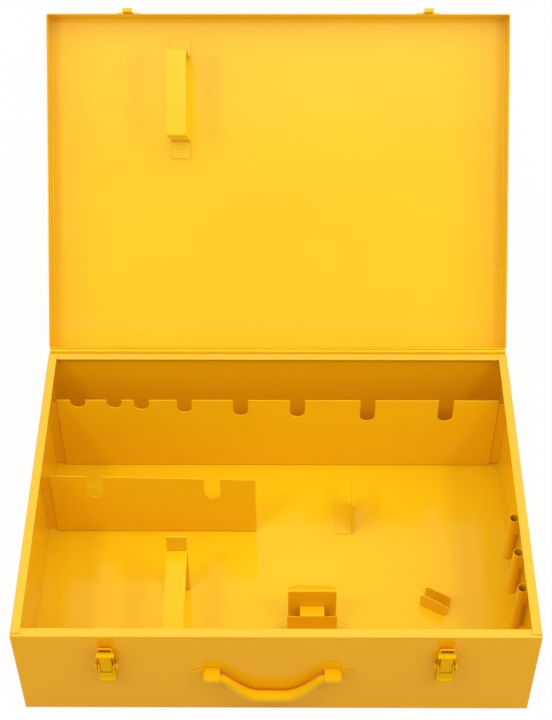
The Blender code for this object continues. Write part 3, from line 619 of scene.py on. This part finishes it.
def round_head(piece, above, middle):
    """Round a head's two corners that lie above a height, one on each side of its middle."""
    for side in (-1, 1):
        select_corners(piece, lambda place: place.z > above and side * (place.x - middle) > 0)
        bpy.ops.mesh.bevel(offset=HEAD_CORNER, segments=HEAD_STEPS, affect="EDGES")


def settle_loop(piece, low, high):
    """Bring a loop's head up and forward, raise its shoulders and round its two top corners."""
    head = low.z + LOOP_HEAD_START
    select_corners(piece, lambda place: place.z > head)
    bpy.ops.transform.translate(value=HEAD_MOVE)
    select_corners(piece, lambda place: low.z + LOOP_SHOULDER_START < place.z < head)
    bpy.ops.transform.translate(value=SHOULDER_MOVE)
    select_corners(piece, lambda place: abs(place.z - low.z - SLOT_TOP) < HEAD_EDGE / 2)
    bpy.ops.transform.translate(value=SLOT_TALLER)
    round_head(piece, high.z + HEAD_UP - HEAD_EDGE, (low.x + high.x) / 2)
    bpy.ops.object.mode_set(mode="OBJECT")


RESHAPED = {"latch_lever": curl_tail, "latch_loop": settle_loop}
for side in ("left", "right"):
    for word in ("latch_base", "latch_lever", "latch_loop"):
        dress_sheet(f"{word}_{side}", "fitting_coat", latch_coat, PRESSED_EDGE, RESHAPED.get(word))
    for word in ("handle_plate", "handle_clip"):
        dress_sheet(f"{word}_{side}", "fitting_coat", fitting_coat, PRESSED_EDGE)
    for place in ("outer", "inner"):
        dress_sheet(f"latch_rivet_{side}_{place}", "fitting_coat", latch_coat, LEAF_EDGE)
    dress_sheet(f"latch_loop_pin_{side}", "zinc_steel", steel, LEAF_EDGE)
print("latches and clips dressed")

# %% [markdown]
# Behind its slot the loop's head is folded back towards the wall, like a shallow hood, which keeps the
# light out of the slot. A hood is a box that loses its front, back and bottom. Its two top edges are
# rounded to match the head, its roof is sloped down to the wall, and the three faces that are left get
# the sheet's thickness.

# %% Hoods behind the loops' heads
HOOD_WIDTH = 17.2 * MM
HOOD_LOW = 17 * MM
HOOD_TOP = 0.9 * MM
HOOD_SLOPE = Vector((0, 0, -8.2)) * MM
HOOD_FRONT = 5.15 * MM
HOOD_GAP = 0.6 * MM
HOOD_SHEET = 1 * MM
FACING = 0.5


def loop_hood(side):
    """A hood of three folded sides between a loop's head and the front wall."""
    low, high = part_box(f"latch_loop_{side}")
    near = Vector(((low.x + high.x - HOOD_WIDTH) / 2, low.y + HOOD_FRONT, low.z + HOOD_LOW))
    far = Vector((near.x + HOOD_WIDTH, FRONT_FACE - HOOD_GAP, high.z + HEAD_UP - HOOD_TOP))
    middle = (near + far) / 2
    bpy.ops.mesh.primitive_cube_add(size=1, location=middle, scale=far - near)
    hood = fix_piece(f"latch_loop_hood_{side}")
    select_parts(hood, "FACE", lambda face: abs(face.normal.y) > FACING or face.normal.z < -FACING)
    bpy.ops.mesh.delete(type="FACE")
    round_head(hood, middle.z, middle.x)
    select_corners(hood, lambda place: place.z > middle.z and place.y > middle.y)
    bpy.ops.transform.translate(value=HOOD_SLOPE)
    bpy.ops.object.mode_set(mode="OBJECT")
    apply_modifier(hood, "SOLIDIFY", thickness=HOOD_SHEET, offset=-1, use_even_offset=True)
    bpy.ops.object.shade_smooth_by_angle(angle=CUT_ANGLE)
    finish_piece(hood, f"loop_{side}", "fitting_coat", latch_coat)


for side in ("left", "right"):
    loop_hood(side)
print("hoods made: 2")

# %% [markdown]
# The handle is a bent round bar. The solid has enough faces to be the right shape, but its outline would
# show corners up close. A subdivision surface rounds it, and a bevel on its two ends first keeps them
# square.

# %% Handle
HANDLE_END_EDGE = 0.6 * MM
HANDLE_END_ANGLE = radians(60)
HANDLE_ROUNDING = 2

handle = copy_solid("handle_bar")
ease_edges(handle, HANDLE_END_EDGE, HANDLE_END_ANGLE)
apply_modifier(handle, "SUBSURF", levels=HANDLE_ROUNDING, render_levels=HANDLE_ROUNDING)
bpy.ops.object.shade_smooth()
finish_piece(handle, "handle", "fitting_coat", fitting_coat, "handle_bar")
print("handle faces:", len(handle.data.polygons))

# %% [markdown]
# Three short tubes on the right wall hold loose rods. A tube is a cylinder without its ends, given a
# wall and a small bevel on both rims. The solid's facets would show on so small a curve, so a rounder tube
# takes its place and its size.

# %% Socket tubes
TUBE_SIDES = 64
TUBE_WALL = 1.3 * MM
TUBE_RIM = 0.3 * MM


def socket_tube(node):
    """A round tube, open at both ends, in the place of its solid."""
    low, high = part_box(node)
    bpy.ops.mesh.primitive_cylinder_add(vertices=TUBE_SIDES, radius=(high.y - low.y) / 2,
                                        depth=high.z - low.z, end_fill_type="NOTHING",
                                        location=(low + high) / 2)
    tube = fix_piece(f"{node}_dressed")
    apply_modifier(tube, "SOLIDIFY", thickness=TUBE_WALL, offset=-1, use_even_offset=True)
    ease_edges(tube, TUBE_RIM)
    smooth_folds(tube)
    finish_piece(tube, "case", "yellow_coat", yellow_coat, node)


for index in (1, 2, 3):
    socket_tube(f"socket_tube_{index}")
print("tubes made: 3")

# %% [markdown]
# Each tube is welded on by a short tab near its mouth, which runs from the front of the tube to the wall
# and ends in a foot. A tab starts as a flat sheet, its edge at the wall is extruded into the foot, and
# then it gets a thickness and eased edges.

# %% Tabs on the tubes
TAB_SHARE = 0.34
TAB_SUNK = 0.9 * MM
TAB_FOOT = Vector((0, 3, 0)) * MM
TAB_SHEET = 1 * MM
WALL_SHEET = 1.2 * MM
WALL_INSIDE = SIDE_FACE - WALL_SHEET


def tube_tab(index):
    """A welded tab from the front of a tube to the right wall."""
    low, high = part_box(f"socket_tube_{index}")
    near = Vector(((low.x + high.x) / 2, low.y + TAB_SUNK, high.z - TAB_SHARE * (high.z - low.z)))
    far = Vector((WALL_INSIDE - TAB_SHEET / 2, near.y, high.z - TUBE_RIM))
    bpy.ops.mesh.primitive_plane_add(size=1, location=(near + far) / 2, rotation=(pi / 2, 0, 0))
    bpy.ops.transform.resize(value=(far.x - near.x, 1, far.z - near.z))
    tab = fix_piece(f"tube_tab_{index}")
    select_corners(tab, lambda place: place.x > far.x - TAB_SHEET)
    bpy.ops.mesh.extrude_region_move(TRANSFORM_OT_translate={"value": TAB_FOOT})
    bpy.ops.object.mode_set(mode="OBJECT")
    apply_modifier(tab, "SOLIDIFY", thickness=TAB_SHEET, offset=0, use_even_offset=True)
    ease_edges(tab, TUBE_RIM)
    bpy.ops.object.shade_smooth_by_angle(angle=CUT_ANGLE)
    finish_piece(tab, "case", "yellow_coat", yellow_coat)


for index in (1, 2, 3):
    tube_tab(index)
print("tabs made: 3")

# %% [markdown]
# A run of paint fills the corner between each divider's angle and the wall. It is a thin rod with a
# rippled surface: a cylinder is cut into rings along its length, every second ring is made a little
# wider, and the whole is shaded smooth.

# %% Filled corners
BEAD_RADIUS = 1.3 * MM
BEAD_SIDES = 12
RIPPLE = 1.6 * MM
RIPPLE_SWELL = 1.1
BEAD_SUNK = 0.7 * MM
FILLED_ANGLES = {"rear_divider_angle_left": -1, "rear_divider_angle_right": 1, "left_divider_angle": -1}


def paint_run(name, x, y, low, high):
    """An upright rippled rod between two heights."""
    bpy.ops.mesh.primitive_cylinder_add(vertices=BEAD_SIDES, radius=BEAD_RADIUS, depth=high - low,
                                        location=(x, y, (low + high) / 2))
    bead = fix_piece(name)

    def is_upright(edge):
        first, second = (bead.data.vertices[index].co.z for index in edge.vertices)
        return abs(first - second) > RIPPLE

    rings = round((high - low) / RIPPLE)
    step = (high - low) / rings
    select_parts(bead, "EDGE", is_upright)
    bpy.ops.mesh.subdivide(number_cuts=rings - 1)
    select_corners(bead, lambda place: round((place.z - low) / step) % 2 == 1)
    bpy.ops.transform.resize(value=(RIPPLE_SWELL, RIPPLE_SWELL, 1), center_override=(x, y, low))
    bpy.ops.object.mode_set(mode="OBJECT")
    bpy.ops.object.shade_smooth_by_angle(angle=CUT_ANGLE)
    finish_piece(bead, "case", "yellow_coat", yellow_coat)


for word, side in FILLED_ANGLES.items():
    low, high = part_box(word)
    paint_run(f"{word}_fill", side * (WALL_INSIDE - BEAD_SUNK), low.y + BEAD_SUNK, low.z, high.z)
print("corners filled: 3")

# %% [markdown]
# The studio is a white floor in a white room. Both look plain white to the camera and in reflections. To
# all other rays they are only as bright as lit paper and a dim room, so that the lamps shape the case. The
# floor still takes a faint shadow: a small share of what the camera sees there is lit paper.

# %% Floor and world
FLOOR_DROP = 0.3 * MM
FLOOR_SIZE = 8
PAPER_WHITE = (0.95, 0.95, 0.95, 1)
PAPER_LIT = (0.55, 0.55, 0.55, 1)
SHADOW_SHARE = 0.08
ROOM_WHITE = (1, 1, 1, 1)
AMBIENT = 0.655


def shown_white(finish):
    """1 for rays from the camera, from reflections and through glass, and 0 for the rest."""
    rays = finish.node("ShaderNodeLightPath").socket.node.outputs
    shares = [Wire(finish, rays[f"Is {kind} Ray"]) for kind in ("Camera", "Glossy", "Transmission")]
    return shares[0].larger(shares[1]).larger(shares[2])


bpy.ops.mesh.primitive_plane_add(size=FLOOR_SIZE, location=(0, 0, SOLID_BOX[0].z - FLOOR_DROP))
floor = bpy.context.active_object
floor.name = "studio_floor"
paper = Finish(bpy.data.materials.new("white_studio_floor"))
seen = shown_white(paper)
matt = paper.node("ShaderNodeBsdfDiffuse", {}, {"Color": paper.blend(seen, PAPER_LIT, PAPER_WHITE)})
glow = paper.node("ShaderNodeEmission", {}, {"Strength": 1.0})
shown = paper.node("ShaderNodeMixShader", {}, {0: (1 - SHADOW_SHARE) * seen, 1: matt, 2: glow})
paper.node("ShaderNodeOutputMaterial", {}, {"Surface": shown})
floor.data.materials.append(paper.owner)

sky = Finish(bpy.data.worlds.new("white_studio"))
strength = AMBIENT + (1 - AMBIENT) * shown_white(sky)
light = sky.node("ShaderNodeBackground", {}, {"Color": ROOM_WHITE, "Strength": strength})
sky.node("ShaderNodeOutputWorld", {}, {"Surface": light})
bpy.context.scene.world = sky.owner
bpy.context.scene.view_settings.view_transform = "Standard"
print("floor and world ready")

# %% [markdown]
# A wide ceiling gives an even light from above, and a smaller panel over the front brightens the lid and
# the floor of the case. A panel on each side lights the wall across from it, and a small softbox on each
# side of the camera gives the strap and the holders their soft shadows. All are square panels that face a
# point on the case, so one function makes them.

# %% Lamps
LID_MIDDLE = Vector((0, 0.36, 0.36))
CASE_MIDDLE = Vector((0, 0, 0.08))
CEILING_PLACE = Vector((0, 0, 2.6))
CEILING_SIZE = 4
CEILING_POWER = 9
FRONT_PANEL_PLACE = Vector((0, -0.62, 2.5))
FRONT_PANEL_SIZE = 1.3
FRONT_PANEL_POWER = 8.6
SOFTBOX_PLACE = Vector((0.83, -0.76, 1.54))
SOFTBOX_SIZE = 0.18
SOFTBOX_POWER = 4.6
SIDE_PANEL_PLACE = Vector((1.8, -0.1, 1.5))
SIDE_PANEL_SIZE = 1.6
SIDE_PANEL_POWER = {"left": 8, "right": 11}


def panel_light(name, place, aim, size, power):
    """A square soft light that faces a point."""
    turn = (place - aim).to_track_quat("Z", "Y").to_euler()
    bpy.ops.object.light_add(type="AREA", location=place, rotation=turn)
    lamp = bpy.context.active_object
    lamp.name = name
    lamp.data.size = size
    lamp.data.energy = power


panel_light("ceiling", CEILING_PLACE, Vector(), CEILING_SIZE, CEILING_POWER)
panel_light("front_panel", FRONT_PANEL_PLACE, LID_MIDDLE, FRONT_PANEL_SIZE, FRONT_PANEL_POWER)
for word, side in (("left", -1), ("right", 1)):
    mirror = Vector((side, 1, 1))
    panel_light(f"softbox_{word}", SOFTBOX_PLACE * mirror, LID_MIDDLE, SOFTBOX_SIZE, SOFTBOX_POWER)
    panel_light(f"side_panel_{word}", SIDE_PANEL_PLACE * mirror, CASE_MIDDLE, SIDE_PANEL_SIZE,
                SIDE_PANEL_POWER[word])
print("lamps ready")
